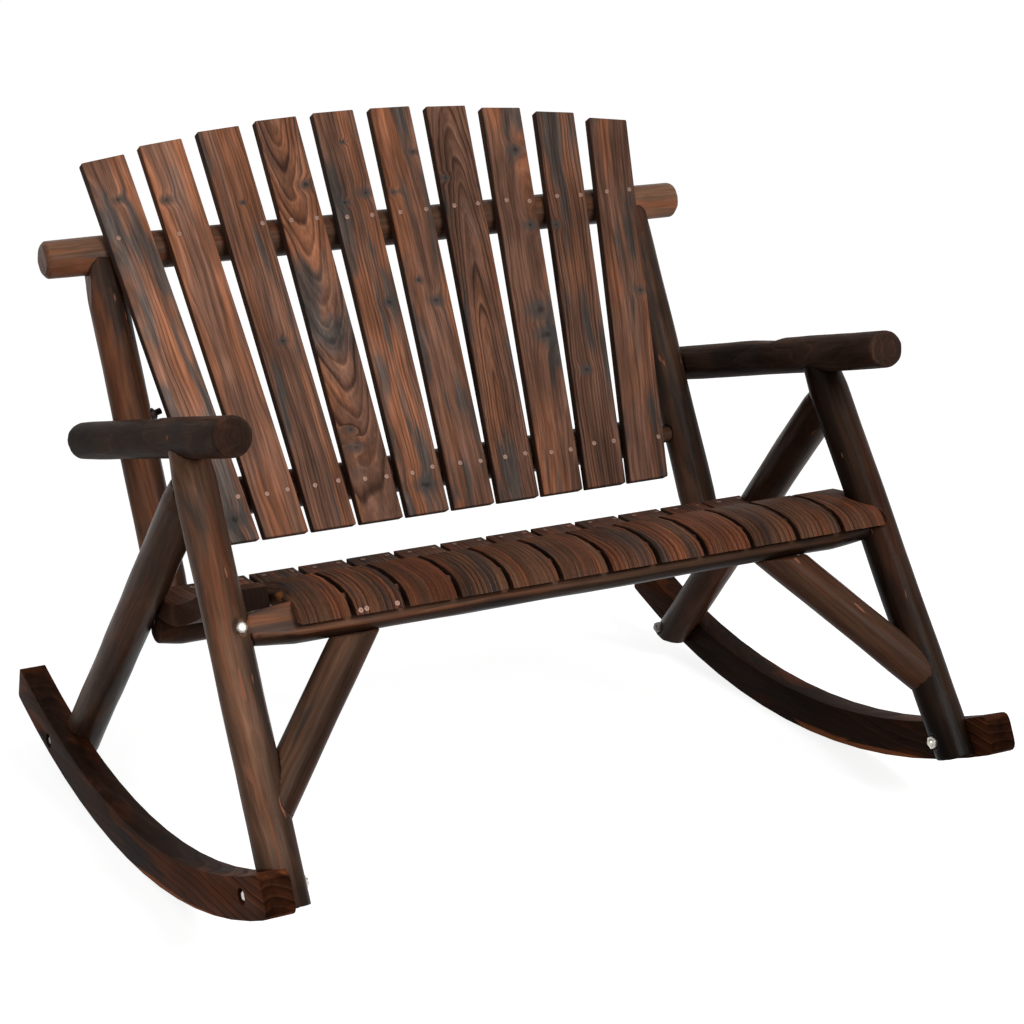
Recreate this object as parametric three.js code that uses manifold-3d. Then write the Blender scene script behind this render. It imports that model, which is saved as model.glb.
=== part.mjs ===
import * as THREE from 'three';
import { mergeVertices } from 'three/addons/utils/BufferGeometryUtils.js';
import Module from 'manifold-3d';

// A rocking bench for two, made of peeled logs and boards and standing at rest on its two rockers.
// Millimetres, +X along the seat, +Y towards the back, +Z up.
// The origin is on the floor, under the middle of the bench.
// The frame that sits on the rockers is drawn with level arms and then tipped back as a whole.

const degree = Math.PI / 180;
const quarter_turn = 90 * degree;
const full_turn = 360 * degree;
const half_share = 0.5;

// Clearances and finish of the solids.
const joint_gap = 0.3;
const overrun = 60;
const log_sides = 24;
const bolt_sides = 12;
const corner_steps = 4;
const triangle_corners = 3;
const axis_count = 3;
const merge_distance = 0.0001;
const smallest_area = 0.000001;

// Rockers: planks sawn to an arc, toed in a little towards the front.
const rocker_radius = 1377;
const rocker_height = 57.5;
const rocker_thickness = 41;
const rocker_inner_side = 551;
const rocker_toe = 0.65 * degree;
const rocker_front_angle = 12.1 * degree;
const rocker_rear_angle = 33.5 * degree;
const rocker_front_round = 16;
const rocker_rear_round = 6;
const rocker_facet_angle = 3 * degree;
const rocker_facets_each_way = 10;
const rocking_centre_front = 294;
const rocking_centre_height = 919.5;
const rest_tilt = 13.17 * degree;

// Legs: the front pair carries the arms, the rear pair leans on the front pair.
const leg_radius = 30;
const leg_end_radius = 26;
const leg_taper_length = 46;
const leg_foot_overrun = 45;
const leg_foot_shortfall = 4;
const front_foot_side = 530;
const front_foot_front = 507;
const front_foot_drop = 425;
const front_head_side = 512;
const front_head_front = 290;
const front_head_height = 160;
const rear_foot_side = 547;
const rear_foot_back = 325;
const rear_foot_drop = 305;
const rear_head_side = 516;
const rear_head_front = 307;
const rear_head_height = 114;

// Arms: level logs on the front legs, each with a shallow notch on top.
const arm_radius = 28.5;
const arm_end_chamfer = 3;
const arm_height = 175.5;
const arm_front_height = 173;
const arm_rear_side = 517.5;
const arm_front_side = 510;
const arm_back = 172;
const arm_front = 475;
const arm_notch_depth = 6;
const arm_notch_start_front = 90;
const arm_notch_deepest_front = 172;
const arm_notch_end_front = 206;

// The back: two posts, two rails across them and a fan of slats, all leaning back together.
const back_lean = 14.13 * degree;
const back_log_depth = 46.5;
const post_side = 461;
const post_radius = 30;
const post_foot_radius = 26;
const post_foot_taper = 95;
const post_foot_drop = 122;
const post_head_lip = 18;
const post_whittled_length = 74;
const post_whittled_half_width = 20;
const top_rail_radius = 29;
const top_rail_overhang = 88;
const top_rail_half_length = post_side + top_rail_overhang;
const top_rail_rise = 478;
const top_rail_chamfer = 6;
const lower_rail_radius = 30;
const lower_rail_rise = 78;
const lower_rail_shoulder = 402;
const lower_rail_neck = 424;
const lower_rail_tenon_radius = 13.5;
const lower_rail_tenon_end = 450;

const slat_count = 10;
const slat_width = 70;
const slat_thickness = 18;
const slat_pitch = 78.8;
const slat_fan_angle = 1.72 * degree;
const fan_top_rise = 663;
const fan_top_radius = 1990;

// The seat: a front and a rear rail, two braces and the contoured boards.
const front_rail_front = 385;
const front_rail_drop = 87;
const front_rail_radius = 28.5;
const front_rail_end_radius = 22;
const front_rail_taper_start = 430;
const front_rail_shoulder = 494;
const front_rail_flat = 17.5;
const front_rail_flat_lean = 26 * degree;
const front_rail_tenon_radius = 17;
const front_rail_tenon_end = 526;
const rear_rail_front = 20;
const rear_rail_drop = 105;
const rear_rail_radius = 28;
const rear_rail_end_radius = 22;
const rear_rail_overhang = 44;
const rear_rail_half_length = post_side + rear_rail_overhang;
const rear_rail_whittled_length = 37;
const rear_rail_flat = 25;
const rear_rail_flat_lean = 12.5 * degree;
const post_flat_depth = 26.4;
const post_flat_top_drop = 62;

const brace_radius = 29;
const brace_end_radius = 23;
const brace_taper_length = 46;
const brace_top_side = 318;
const brace_top_front = 386;
const brace_foot_drop = 322;

const board_count = 13;
const board_pitch = 78.8;
const board_width = 71;
const board_thickness = 30;
const board_steps = 14;
const board_back_front = 17;
const board_back_drop = 48;
const seat_depth = 407;
const seat_along_shares = [0, 0.111, 0.27, 0.491, 0.683, 0.88, 0.973, 1];
const seat_rise_shares = [0, -0.0246, -0.0418, -0.0098, 0.0332, -0.0025, -0.0491, -0.0983];
const nose_cut_angle = 6 * degree;
const short_board_front = 329;

// Bolts with a low round head, and their hexagon nuts.
const bolt_radius = 5;
const bolt_head_radius = 9;
const bolt_crown_radius = 5;
const bolt_head_height = 4;
const bolt_tip_length = 4;
const nut_flat_radius = 8.5;
const nut_height = 8;
const nut_sides = 6;
const recess_radius = 12;
const rocker_recess_depth = 6;
const spot_face_depth = 6;
const front_rocker_bolt_front = 496;
const front_rocker_bolt_drop = 410;
const rear_rocker_bolt_back = 322;
const rear_rocker_bolt_drop = 289;
const leg_bolt_inset = 11.6;
const leg_bolt_front_seat = 21;
const leg_bolt_rear_seat = 27;
const arm_bolt_back = 96;
const arm_bolt_lean = 18 * degree;
const arm_bolt_root = 12;
const arm_bolt_inner_seat = 86.5;
const arm_bolt_tip_length = 11;

// Plain colours of the stained wood and the zinc.
const log_brown = { color: 0x2e211d, roughness: 0.5, metalness: 0 };
const arm_brown = { color: 0x2a221e, roughness: 0.45, metalness: 0 };
const slat_brown = { color: 0x3d251c, roughness: 0.55, metalness: 0 };
const board_brown = { color: 0x472a20, roughness: 0.5, metalness: 0 };
const rocker_brown = { color: 0x2c1c18, roughness: 0.5, metalness: 0 };
const zinc = { color: 0xa8a49a, roughness: 0.35, metalness: 1 };

const across = new THREE.Vector3(1, 0, 0);
const lengthways = new THREE.Vector3(0, 1, 0);
const upwards = new THREE.Vector3(0, 0, 1);

const wasm = await Module();
wasm.setup();

// The whole bench, the frame that sits on the rockers, and the leaning plane of the back.
const bench = new THREE.Group();
const sitting = new THREE.Group();
const back = new THREE.Group();
bench.add(sitting);
sitting.add(back);
sitting.rotation.x = -rest_tilt;
back.rotation.x = quarter_turn - back_lean;
const rocking_centre = new THREE.Vector3(0, -rocking_centre_front, rocking_centre_height);
const lift = new THREE.Vector3(0, 0, rocker_radius);
sitting.position.copy(lift.sub(rocking_centre.clone().applyEuler(sitting.rotation)));
bench.updateMatrixWorld(true);

const sides = [
  { word: 'left', sign: -1 },
  { word: 'right', sign: 1 },
];

// Welds a geometry into one closed skin without needle triangles, its faces pointing out.
const closed = (geometry) => {
  const bare = geometry.clone();
  bare.deleteAttribute('normal');
  bare.deleteAttribute('uv');
  const welded = mergeVertices(bare, merge_distance);
  const at = welded.attributes.position;
  const order = welded.index.array;
  const corner = (index) => new THREE.Vector3().fromBufferAttribute(at, index);
  const kept = [];
  let volume = 0;
  for (let i = 0; i < order.length; i += triangle_corners) {
    const [a, b, c] = [order[i], order[i + 1], order[i + 2]];
    const triangle = new THREE.Triangle(corner(a), corner(b), corner(c));
    if (a === b || b === c || c === a || triangle.getArea() < smallest_area) {
      continue;
    }
    volume += triangle.a.dot(triangle.b.clone().cross(triangle.c));
    kept.push(a, b, c);
  }
  if (volume < 0) {
    kept.reverse();
  }
  welded.setIndex(kept);
  return welded;
};

// A named piece that belongs to a group.
const add_piece = (group, name, look, piece) => {
  piece.name = name;
  piece.material = new THREE.MeshStandardMaterial(look);
  group.add(piece);
  return piece;
};

// A cutter sits in a group's frame without being one of its pieces.
const cutter_in = (group, cutter) => {
  cutter.parent = group;
  return cutter;
};

const solid_from = (geometry, matrix) => {
  const placed = geometry.clone().applyMatrix4(matrix);
  const mesh = new wasm.Mesh({
    numProp: axis_count,
    vertProperties: new Float32Array(placed.attributes.position.array),
    triVerts: new Uint32Array(placed.index.array),
  });
  return new wasm.Manifold(mesh);
};

// The skin of a solid, as a geometry.
const skin_of = (solid) => {
  const mesh = solid.getMesh();
  const geometry = new THREE.BufferGeometry();
  geometry.setAttribute('position', new THREE.BufferAttribute(mesh.vertProperties, axis_count));
  geometry.setIndex(new THREE.BufferAttribute(mesh.triVerts, 1));
  return geometry;
};

// A grown or cut piece stays in its own frame; this places another piece's skin in that frame.
const placed_in = (piece, other) => {
  piece.updateWorldMatrix(true, false);
  other.updateWorldMatrix(true, false);
  return solid_from(other.geometry, piece.matrixWorld.clone().invert().multiply(other.matrixWorld));
};

// Takes the cutters out of a piece, wherever each of them stands.
const carve = (piece, ...cutters) => {
  let body = solid_from(piece.geometry, new THREE.Matrix4());
  for (const cutter of cutters) {
    body = body.subtract(placed_in(piece, cutter));
  }
  piece.geometry = skin_of(body);
};

// Makes a second piece one with the first.
const join = (piece, other) => {
  const body = solid_from(piece.geometry, new THREE.Matrix4());
  piece.geometry = skin_of(body.add(placed_in(piece, other)));
};

// A round piece along the line between two points, with a radius at each station on the way.
const turned = (from, to, stations, facets = log_sides) => {
  const outline = stations.map(([along, radius]) => new THREE.Vector2(radius, along));
  outline.unshift(new THREE.Vector2(0, stations[0][0]));
  outline.push(new THREE.Vector2(0, stations.at(-1)[0]));
  const piece = new THREE.Mesh(closed(new THREE.LatheGeometry(outline, facets)));
  const direction = to.clone().sub(from).normalize();
  piece.position.copy(from);
  piece.quaternion.setFromUnitVectors(lengthways, direction);
  return piece;
};

const rod = (from, to, radius, facets = log_sides) =>
  turned(from, to, [[0, radius], [from.distanceTo(to), radius]], facets);

// A block that lies on the outer side of a plane, for planing a flat on a log.
const plane_block = (length, point, outwards, distance) => {
  const piece = new THREE.Mesh(closed(new THREE.BoxGeometry(length, overrun, overrun + overrun)));
  piece.quaternion.setFromUnitVectors(lengthways, outwards);
  piece.position.copy(point).addScaledVector(outwards, distance + overrun * half_share);
  return piece;
};

// An outline in the plane of Y and Z, drawn as (back, up), made into a board along X.
const sawn_across = (shape, width) => {
  const geometry = new THREE.ExtrudeGeometry(shape, { depth: width, bevelEnabled: false });
  const columns = new THREE.Matrix4().makeBasis(lengthways, upwards, across);
  return new THREE.Mesh(closed(geometry.applyMatrix4(columns)));
};

const outline_of = (points) => new THREE.Shape(points.map(([x, y]) => new THREE.Vector2(x, y)));

// Where the logs run, on one side of the bench.
const front_leg_line = (sign) => [
  new THREE.Vector3(sign * front_foot_side, -front_foot_front, -front_foot_drop),
  new THREE.Vector3(sign * front_head_side, -front_head_front, front_head_height),
];
const rear_leg_line = (sign) => [
  new THREE.Vector3(sign * rear_foot_side, rear_foot_back, -rear_foot_drop),
  new THREE.Vector3(sign * rear_head_side, -rear_head_front, rear_head_height),
];
const arm_line = (sign) => [
  new THREE.Vector3(sign * arm_rear_side, arm_back, arm_height),
  new THREE.Vector3(sign * arm_front_side, -arm_front, arm_front_height),
];
const post_line = (sign) => [
  new THREE.Vector3(sign * post_side, -post_foot_drop, -back_log_depth),
  new THREE.Vector3(sign * post_side, top_rail_rise - top_rail_radius + post_head_lip, -back_log_depth),
];
const front_rail_point = (side) => new THREE.Vector3(side, -front_rail_front, -front_rail_drop);
const rear_rail_point = (side) => new THREE.Vector3(side, -rear_rail_front, -rear_rail_drop);

// The point of a log's line at one height.
const at_height = ([foot, head], height) => foot.clone().lerp(head, (height - foot.z) / (head.z - foot.z));

// A grown copy of a straight log, to cut its neighbours with a little room.
const saddle_cutter = (group, [from, to], radius) => {
  const direction = to.clone().sub(from).normalize();
  const start = from.clone().addScaledVector(direction, -overrun);
  const end = to.clone().addScaledVector(direction, overrun);
  return cutter_in(group, rod(start, end, radius + joint_gap));
};

// The frame of one rocker: its origin is on the inner face, at the centre of the arc.
const rocker_frame = (sign) => {
  const frame = new THREE.Group();
  frame.position.set(sign * rocker_inner_side, 0, rocker_radius);
  frame.rotation.z = -sign * rocker_toe;
  bench.add(frame);
  frame.updateMatrixWorld(true);
  return frame;
};

// The rocker's arc, flat where it stands; margin grows it into a cutter for the half laps.
const rocker_outline = (margin) => {
  const low = rocker_radius + margin;
  const high = rocker_radius - rocker_height - joint_gap * Math.sign(margin);
  const rim = (angle, radius) => new THREE.Vector2(radius * Math.sin(angle), -radius * Math.cos(angle));
  const front = -rocker_front_angle - rest_tilt;
  const rear = rocker_rear_angle - rest_tilt;
  const front_turn = rocker_front_round / rocker_radius;
  const rear_turn = rocker_rear_round / rocker_radius;
  const middle_angles = [];
  for (let facet = -rocker_facets_each_way; facet < rocker_facets_each_way; facet += 1) {
    const angle = (facet + half_share) * rocker_facet_angle;
    if (angle > front + front_turn + front_turn && angle < rear - rear_turn - rear_turn) {
      middle_angles.push(angle);
    }
  }
  const shape = new THREE.Shape();
  const turn_corner = (corner, end) => shape.quadraticCurveTo(corner.x, corner.y, end.x, end.y);
  const line_to = (point) => shape.lineTo(point.x, point.y);
  const start = rim(front + front_turn, low);
  shape.moveTo(start.x, start.y);
  middle_angles.forEach((angle) => line_to(rim(angle, low)));
  line_to(rim(rear - rear_turn, low));
  turn_corner(rim(rear, low), rim(rear, low - rocker_rear_round));
  line_to(rim(rear, high + rocker_rear_round));
  turn_corner(rim(rear, high), rim(rear - rear_turn, high));
  middle_angles.reverse().forEach((angle) => line_to(rim(angle, high)));
  line_to(rim(front + front_turn, high));
  turn_corner(rim(front, high), rim(front, high + rocker_front_round));
  line_to(rim(front, low - rocker_front_round));
  turn_corner(rim(front, low), start);
  return shape;
};

// A plank with the rocker's outline, from one distance off the inner face to another.
const rocker_plank = (margin, from, to) => {
  const shape = rocker_outline(margin);
  const geometry = new THREE.ExtrudeGeometry(shape, {
    depth: Math.abs(to - from),
    bevelEnabled: false,
    curveSegments: corner_steps,
  });
  geometry.applyMatrix4(new THREE.Matrix4().makeBasis(lengthways, upwards, across));
  geometry.translate(Math.min(from, to), 0, 0);
  return new THREE.Mesh(closed(geometry));
};

// The ring beyond the legs' feet, which cuts them off just above the rocker's lower edge.
const foot_ring = (sign) => {
  const ring = new THREE.Shape();
  const inner = rocker_radius - leg_foot_shortfall;
  const outer = inner + overrun + overrun;
  const front = -rocker_front_angle - rest_tilt - quarter_turn;
  const rear = rocker_rear_angle - rest_tilt - quarter_turn;
  ring.absarc(0, 0, outer, front, rear, false);
  ring.absarc(0, 0, inner, rear, front, true);
  const geometry = new THREE.ExtrudeGeometry(ring, {
    depth: overrun + overrun,
    bevelEnabled: false,
    curveSegments: log_sides,
  });
  geometry.applyMatrix4(new THREE.Matrix4().makeBasis(lengthways, upwards, across));
  geometry.translate(-overrun, 0, 0);
  return new THREE.Mesh(closed(geometry));
};

const make_rocker = ({ word, sign }, frame) => {
  const plank = rocker_plank(0, 0, sign * rocker_thickness);
  return add_piece(frame, `rocker_${word}`, rocker_brown, plank);
};

// The legs: round logs, half lapped onto the inner faces of the rockers.
const make_leg = (group, name, [foot, head], top_cutter, frame, sign) => {
  const direction = head.clone().sub(foot).normalize();
  const start = foot.clone().addScaledVector(direction, -leg_foot_overrun);
  const length = start.distanceTo(head);
  const stations = [[0, leg_radius], [length - leg_taper_length, leg_radius], [length, leg_end_radius]];
  const leg = add_piece(group, name, log_brown, turned(start, head, stations));
  const lap = cutter_in(frame, rocker_plank(overrun, -sign * joint_gap, sign * overrun));
  carve(leg, top_cutter, lap, cutter_in(frame, foot_ring(sign)));
  return leg;
};

const make_front_leg = ({ word, sign }, frame) => {
  const under_arm = saddle_cutter(sitting, arm_line(sign), arm_radius);
  return make_leg(sitting, `front_leg_${word}`, front_leg_line(sign), under_arm, frame, sign);
};

const make_rear_leg = ({ word, sign }, frame) => {
  const on_front_leg = saddle_cutter(sitting, front_leg_line(sign), leg_radius);
  return make_leg(sitting, `rear_leg_${word}`, rear_leg_line(sign), on_front_leg, frame, sign);
};

// The arms: level logs with chamfered ends and a shallow notch, scooped to fit the posts.
const make_arm = ({ word, sign }) => {
  const [rear, front] = arm_line(sign);
  const length = rear.distanceTo(front);
  const stations = [
    [0, arm_radius - arm_end_chamfer],
    [arm_end_chamfer, arm_radius],
    [length - arm_end_chamfer, arm_radius],
    [length, arm_radius - arm_end_chamfer],
  ];
  const arm = add_piece(sitting, `arm_${word}`, arm_brown, turned(rear, front, stations));
  const top = arm_height + arm_radius;
  const notch = sawn_across(outline_of([
    [-arm_notch_end_front, top],
    [-arm_notch_deepest_front, top - arm_notch_depth],
    [-arm_notch_start_front, top],
    [-arm_notch_start_front, top + overrun],
    [-arm_notch_end_front, top + overrun],
  ]), overrun + overrun);
  notch.position.x = sign * arm_front_side - overrun;
  carve(arm, cutter_in(sitting, notch), saddle_cutter(back, post_line(sign), post_radius));
  return arm;
};

// The rails of the back, planed flat in front where the slats lie against them.
const slat_bed = (rise) => {
  const point = new THREE.Vector3(0, rise, -slat_thickness);
  const length = top_rail_half_length + top_rail_half_length + overrun;
  return cutter_in(back, plane_block(length, point, upwards, -joint_gap));
};

const back_point = (side, rise) => new THREE.Vector3(side, rise, -back_log_depth);

const make_top_rail = () => {
  const from = back_point(-top_rail_half_length, top_rail_rise);
  const to = back_point(top_rail_half_length, top_rail_rise);
  const length = from.distanceTo(to);
  const stations = [
    [0, top_rail_radius - top_rail_chamfer],
    [top_rail_chamfer, top_rail_radius],
    [length - top_rail_chamfer, top_rail_radius],
    [length, top_rail_radius - top_rail_chamfer],
  ];
  const rail = add_piece(back, 'top_rail', log_brown, turned(from, to, stations));
  carve(rail, slat_bed(top_rail_rise));
  return rail;
};

const make_lower_rail = () => {
  const from = back_point(-lower_rail_tenon_end, lower_rail_rise);
  const to = back_point(lower_rail_tenon_end, lower_rail_rise);
  const stations = [
    [0, lower_rail_tenon_radius],
    [lower_rail_tenon_end - lower_rail_neck, lower_rail_tenon_radius],
    [lower_rail_tenon_end - lower_rail_shoulder, lower_rail_radius],
    [lower_rail_tenon_end + lower_rail_shoulder, lower_rail_radius],
    [lower_rail_tenon_end + lower_rail_neck, lower_rail_tenon_radius],
    [lower_rail_tenon_end + lower_rail_tenon_end, lower_rail_tenon_radius],
  ];
  const rail = add_piece(back, 'lower_back_rail', log_brown, turned(from, to, stations));
  carve(rail, slat_bed(lower_rail_rise));
  return rail;
};

// The posts: whittled heads with a fish mouth under the top rail, a socket for the lower rail,
// a flat at the seat rail and a small one behind the outermost slat.
const make_post = ({ word, sign }) => {
  const [foot, head] = post_line(sign);
  const length = foot.distanceTo(head);
  const stations = [[0, post_foot_radius], [post_foot_taper, post_radius], [length, post_radius]];
  const post = add_piece(back, `post_${word}`, log_brown, turned(foot, head, stations));
  const narrowing = Math.atan2(post_radius - post_whittled_half_width, post_whittled_length);
  const start = head.clone().setY(head.y - post_whittled_length);
  for (const side of sides) {
    const outwards = new THREE.Vector3(side.sign * Math.cos(narrowing), Math.sin(narrowing), 0);
    const edge = start.clone().setX(start.x + side.sign * post_radius);
    const reach = post_whittled_length + overrun;
    carve(post, cutter_in(back, plane_block(reach + reach, edge, outwards, 0)));
  }
  const rail_ends = [back_point(-post_side, top_rail_rise), back_point(post_side, top_rail_rise)];
  const socket = rod(
    back_point(0, lower_rail_rise),
    back_point(sign * (lower_rail_tenon_end + joint_gap), lower_rail_rise),
    lower_rail_tenon_radius + joint_gap,
  );
  const flat = new THREE.Mesh(closed(new THREE.BoxGeometry(overrun + overrun, overrun, overrun)));
  const flat_front = -post_flat_depth - joint_gap;
  flat.position.set(foot.x, -post_flat_top_drop - overrun * half_share, flat_front + overrun * half_share);
  carve(post, saddle_cutter(back, rail_ends, top_rail_radius), slat_bed(top_rail_rise));
  carve(post, cutter_in(back, socket), cutter_in(back, flat));
  return post;
};

// The slats: feet on one line, each leaning out a little more, heads square on a wide arc.
const make_slat = (index) => {
  const place = index - (slat_count - 1) * half_share;
  const lean = place * slat_fan_angle;
  const foot = new THREE.Vector2(place * slat_pitch, 0);
  const along = new THREE.Vector2(Math.sin(lean), Math.cos(lean));
  const beside = new THREE.Vector2(Math.cos(lean), -Math.sin(lean));
  const from_centre = foot.clone().sub(new THREE.Vector2(0, fan_top_rise - fan_top_radius));
  const reach = from_centre.dot(along);
  const room = fan_top_radius * fan_top_radius - from_centre.lengthSq();
  const length = Math.sqrt(reach * reach + room) - reach;
  const half_width = slat_width * half_share;
  const foot_half = half_width / Math.cos(lean);
  const head = foot.clone().addScaledVector(along, length);
  const head_left = head.clone().addScaledVector(beside, -half_width);
  const head_right = head.clone().addScaledVector(beside, half_width);
  const shape = outline_of([
    [foot.x - foot_half, 0],
    [foot.x + foot_half, 0],
    [head_right.x, head_right.y],
    [head_left.x, head_left.y],
  ]);
  const geometry = new THREE.ExtrudeGeometry(shape, { depth: slat_thickness, bevelEnabled: false });
  const slat = new THREE.Mesh(closed(geometry));
  slat.position.z = -slat_thickness;
  return add_piece(back, `slat_${String(index + 1).padStart(2, '0')}`, slat_brown, slat);
};

// The front seat rail: whittled ends with a tenon into each leg, planed flat under the board noses.
const front_rail_body = (margin) => {
  const from = front_rail_point(-front_rail_shoulder);
  const to = front_rail_point(front_rail_shoulder);
  const length = from.distanceTo(to);
  const whittled = front_rail_shoulder - front_rail_taper_start;
  const stations = [
    [0, front_rail_end_radius + margin],
    [whittled, front_rail_radius + margin],
    [length - whittled, front_rail_radius + margin],
    [length, front_rail_end_radius + margin],
  ];
  const body = cutter_in(sitting, turned(from, to, stations));
  const outwards = new THREE.Vector3(0, -Math.cos(front_rail_flat_lean), Math.sin(front_rail_flat_lean));
  const block = plane_block(length + overrun, front_rail_point(0), outwards, front_rail_flat + margin);
  carve(body, cutter_in(sitting, block));
  return body;
};

const front_rail_tenons = (margin) => {
  const end = front_rail_tenon_end + margin;
  return cutter_in(sitting, rod(front_rail_point(-end), front_rail_point(end), front_rail_tenon_radius + margin));
};

const make_front_rail = () => {
  const rail = add_piece(sitting, 'front_seat_rail', log_brown, front_rail_body(0));
  carve(rail, ...sides.map(({ sign }) => saddle_cutter(sitting, front_leg_line(sign), leg_radius)));
  join(rail, front_rail_tenons(0));
  return rail;
};

// The rear seat rail: level bed on top for the boards, flats at the posts, ends saddled on the legs.
const rear_rail_body = (margin) => {
  const from = rear_rail_point(-rear_rail_half_length);
  const to = rear_rail_point(rear_rail_half_length);
  const length = from.distanceTo(to);
  const whittled = rear_rail_whittled_length;
  const stations = [
    [0, rear_rail_end_radius + margin],
    [whittled, rear_rail_radius + margin],
    [length - whittled, rear_rail_radius + margin],
    [length, rear_rail_end_radius + margin],
  ];
  const body = cutter_in(sitting, turned(from, to, stations));
  const outwards = new THREE.Vector3(0, -Math.sin(rear_rail_flat_lean), Math.cos(rear_rail_flat_lean));
  const block = plane_block(length + overrun, rear_rail_point(0), outwards, rear_rail_flat + margin);
  carve(body, cutter_in(sitting, block));
  return body;
};

const make_rear_rail = () => {
  const rail = add_piece(sitting, 'rear_seat_rail', log_brown, rear_rail_body(0));
  const cutters = sides.map(({ sign }) => saddle_cutter(sitting, rear_leg_line(sign), leg_radius));
  for (const { sign } of sides) {
    const width = post_radius + post_radius + joint_gap + joint_gap;
    const notch = new THREE.Mesh(closed(new THREE.BoxGeometry(width, overrun + overrun, overrun)));
    notch.position.set(sign * post_side, -post_foot_drop, -post_flat_depth - overrun * half_share);
    cutters.push(cutter_in(back, notch));
  }
  carve(rail, ...cutters);
  return rail;
};

// The braces: short logs from under the front rail down to the front legs.
const make_brace = ({ word, sign }) => {
  const top = new THREE.Vector3(sign * brace_top_side, -brace_top_front, -front_rail_drop);
  const foot = at_height(front_leg_line(sign), -brace_foot_drop);
  const length = top.distanceTo(foot);
  const stations = [
    [0, brace_end_radius],
    [brace_taper_length, brace_radius],
    [length - brace_taper_length, brace_radius],
    [length, brace_end_radius],
  ];
  const brace = add_piece(sitting, `brace_${word}`, log_brown, turned(top, foot, stations));
  const rail_ends = [front_rail_point(-front_rail_taper_start), front_rail_point(front_rail_taper_start)];
  const under_rail = saddle_cutter(sitting, rail_ends, front_rail_radius);
  carve(brace, under_rail, saddle_cutter(sitting, front_leg_line(sign), leg_radius));
  return brace;
};

// The outline of a seat board: hollow behind, crowned in front, its nose turned down over the rail.
const board_outline = () => {
  const crown = seat_along_shares.map((share, index) => new THREE.Vector2(
    -board_back_front - share * seat_depth,
    -board_back_drop + seat_rise_shares[index] * seat_depth,
  ));
  const curve = new THREE.SplineCurve(crown);
  const above = curve.getPoints(board_steps);
  const below = above.map((point, step) => {
    const forwards = curve.getTangent(step / board_steps);
    return new THREE.Vector2(point.x - forwards.y * board_thickness, point.y + forwards.x * board_thickness);
  });
  const tip = above.at(-1);
  const cut_end = [
    tip.x + board_thickness * Math.cos(nose_cut_angle),
    tip.y + board_thickness * Math.sin(nose_cut_angle),
  ];
  const inner = below.slice(0, -1).reverse().map((point) => [point.x, point.y]);
  return outline_of([...above.map((point) => [point.x, point.y]), cut_end, ...inner]);
};

const make_board = (index, outline, rail_cutters) => {
  const place = index - (board_count - 1) * half_share;
  const board = sawn_across(outline, board_width);
  board.position.x = place * board_pitch - board_width * half_share;
  const name = `seat_board_${String(index + 1).padStart(2, '0')}`;
  add_piece(sitting, name, board_brown, board);
  carve(board, ...rail_cutters);
  return board;
};

// The end boards give way to the legs: the left one stops behind its leg, the right one is notched.
const fit_end_boards = (first, last) => {
  const stop = new THREE.Mesh(closed(new THREE.BoxGeometry(overrun + overrun + overrun, seat_depth, seat_depth)));
  stop.position.set(first.position.x, -short_board_front - seat_depth * half_share, -board_back_drop);
  carve(first, cutter_in(sitting, stop), saddle_cutter(sitting, rear_leg_line(-1), leg_radius));
  carve(
    last,
    front_rail_tenons(joint_gap),
    saddle_cutter(sitting, rear_leg_line(1), leg_radius),
    saddle_cutter(sitting, front_leg_line(1), leg_radius),
  );
};

// A hexagon nut that lies against its seat.
const add_nut = (group, name, nut_seat, inwards) => {
  const corner_angle = full_turn / nut_sides;
  const corner_radius = nut_flat_radius / Math.cos(corner_angle * half_share);
  const corners = [];
  for (let side = 0; side < nut_sides; side += 1) {
    const angle = side * corner_angle;
    corners.push([corner_radius * Math.cos(angle), corner_radius * Math.sin(angle)]);
  }
  const hexagon = outline_of(corners);
  const bore = new THREE.Path();
  bore.absarc(0, 0, bolt_radius + joint_gap, 0, full_turn, false);
  hexagon.holes.push(bore);
  const geometry = new THREE.ExtrudeGeometry(hexagon, {
    depth: nut_height,
    bevelEnabled: false,
    curveSegments: bolt_sides,
  });
  const nut = add_piece(group, `${name}_nut`, zinc, new THREE.Mesh(closed(geometry)));
  nut.position.copy(nut_seat).addScaledVector(inwards, joint_gap);
  nut.quaternion.setFromUnitVectors(upwards, inwards);
};

// A bolt with its head on one seat and its nut on another; seats are points along one line.
const make_bolt = (group, name, head_seat, nut_seat, pieces, spot_faces) => {
  const inwards = nut_seat.clone().sub(head_seat).normalize();
  const head_top = head_seat.clone().addScaledVector(inwards, -bolt_head_height - joint_gap);
  const length = head_seat.distanceTo(nut_seat) + bolt_head_height + nut_height + bolt_tip_length;
  const stations = [
    [0, bolt_crown_radius],
    [bolt_head_height, bolt_head_radius],
    [bolt_head_height, bolt_radius],
    [length, bolt_radius],
  ];
  add_piece(group, `${name}_bolt`, zinc, turned(head_top, nut_seat, stations, bolt_sides));
  add_nut(group, name, nut_seat, inwards);

  const far = nut_seat.clone().addScaledVector(inwards, overrun);
  const near = head_seat.clone().addScaledVector(inwards, -overrun);
  const hole = cutter_in(group, rod(near, far, bolt_radius + joint_gap, bolt_sides));
  const head_room = cutter_in(group, rod(head_seat, near, recess_radius));
  const nut_room = cutter_in(group, rod(nut_seat, far, recess_radius));
  for (const piece of pieces) {
    carve(piece, hole);
  }
  carve(spot_faces.head, head_room);
  carve(spot_faces.nut, nut_room);
};

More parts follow.
